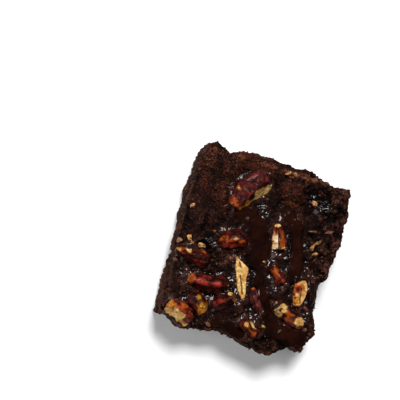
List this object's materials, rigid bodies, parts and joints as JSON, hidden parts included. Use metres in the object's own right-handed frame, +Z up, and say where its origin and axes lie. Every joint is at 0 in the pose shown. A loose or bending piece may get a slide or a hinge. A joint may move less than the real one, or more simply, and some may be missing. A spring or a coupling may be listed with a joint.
{
  "type": "chocolate brownie",
  "caption": "Hand-cut square of dark chocolate brownie with an uneven glazed top, rough cut sides and chopped pecan pieces pressed into it.",
  "frame": {"origin": "middle of the flat base, on the surface the brownie rests on", "axes": "+Z up, +X to the right and +Y to the back edge with the raised crust, as seen from the front"},
  "size_m": [0.0661, 0.0761, 0.0235],
  "materials": {
    "cake": "dark chocolate crumb, matt where bare and glossy where glazed",
    "pecan_ruby": "glazed red-brown pecan skin with cream broken faces",
    "pecan_russet": "glazed russet pecan skin with cream broken faces",
    "pecan_amber": "glazed amber pecan skin with cream broken faces",
    "pecan_plum": "dark chocolate-stained pecan skin"
  },
  "bodies": {
    "root": {"cake": "cake", "pecan_large_back": "pecan_ruby", "pecan_knuckle": "pecan_ruby", "pecan_upright": "pecan_russet", "pecan_left_ridge": "pecan_ruby", "pecan_long_left": "pecan_ruby", "pecan_corner": "pecan_russet", "pecan_corner_inner": "pecan_ruby", "pecan_short_red": "pecan_ruby", "pecan_pale_sliver": "pecan_russet", "pecan_brown_stick": "pecan_plum", "pecan_amber_stick": "pecan_russet", "pecan_pale_leaf": "pecan_amber", "pecan_fork": "pecan_plum", "pecan_front_bit": "pecan_russet", "pecan_dark_sliver": "pecan_plum"}
  },
  "joints": []
}
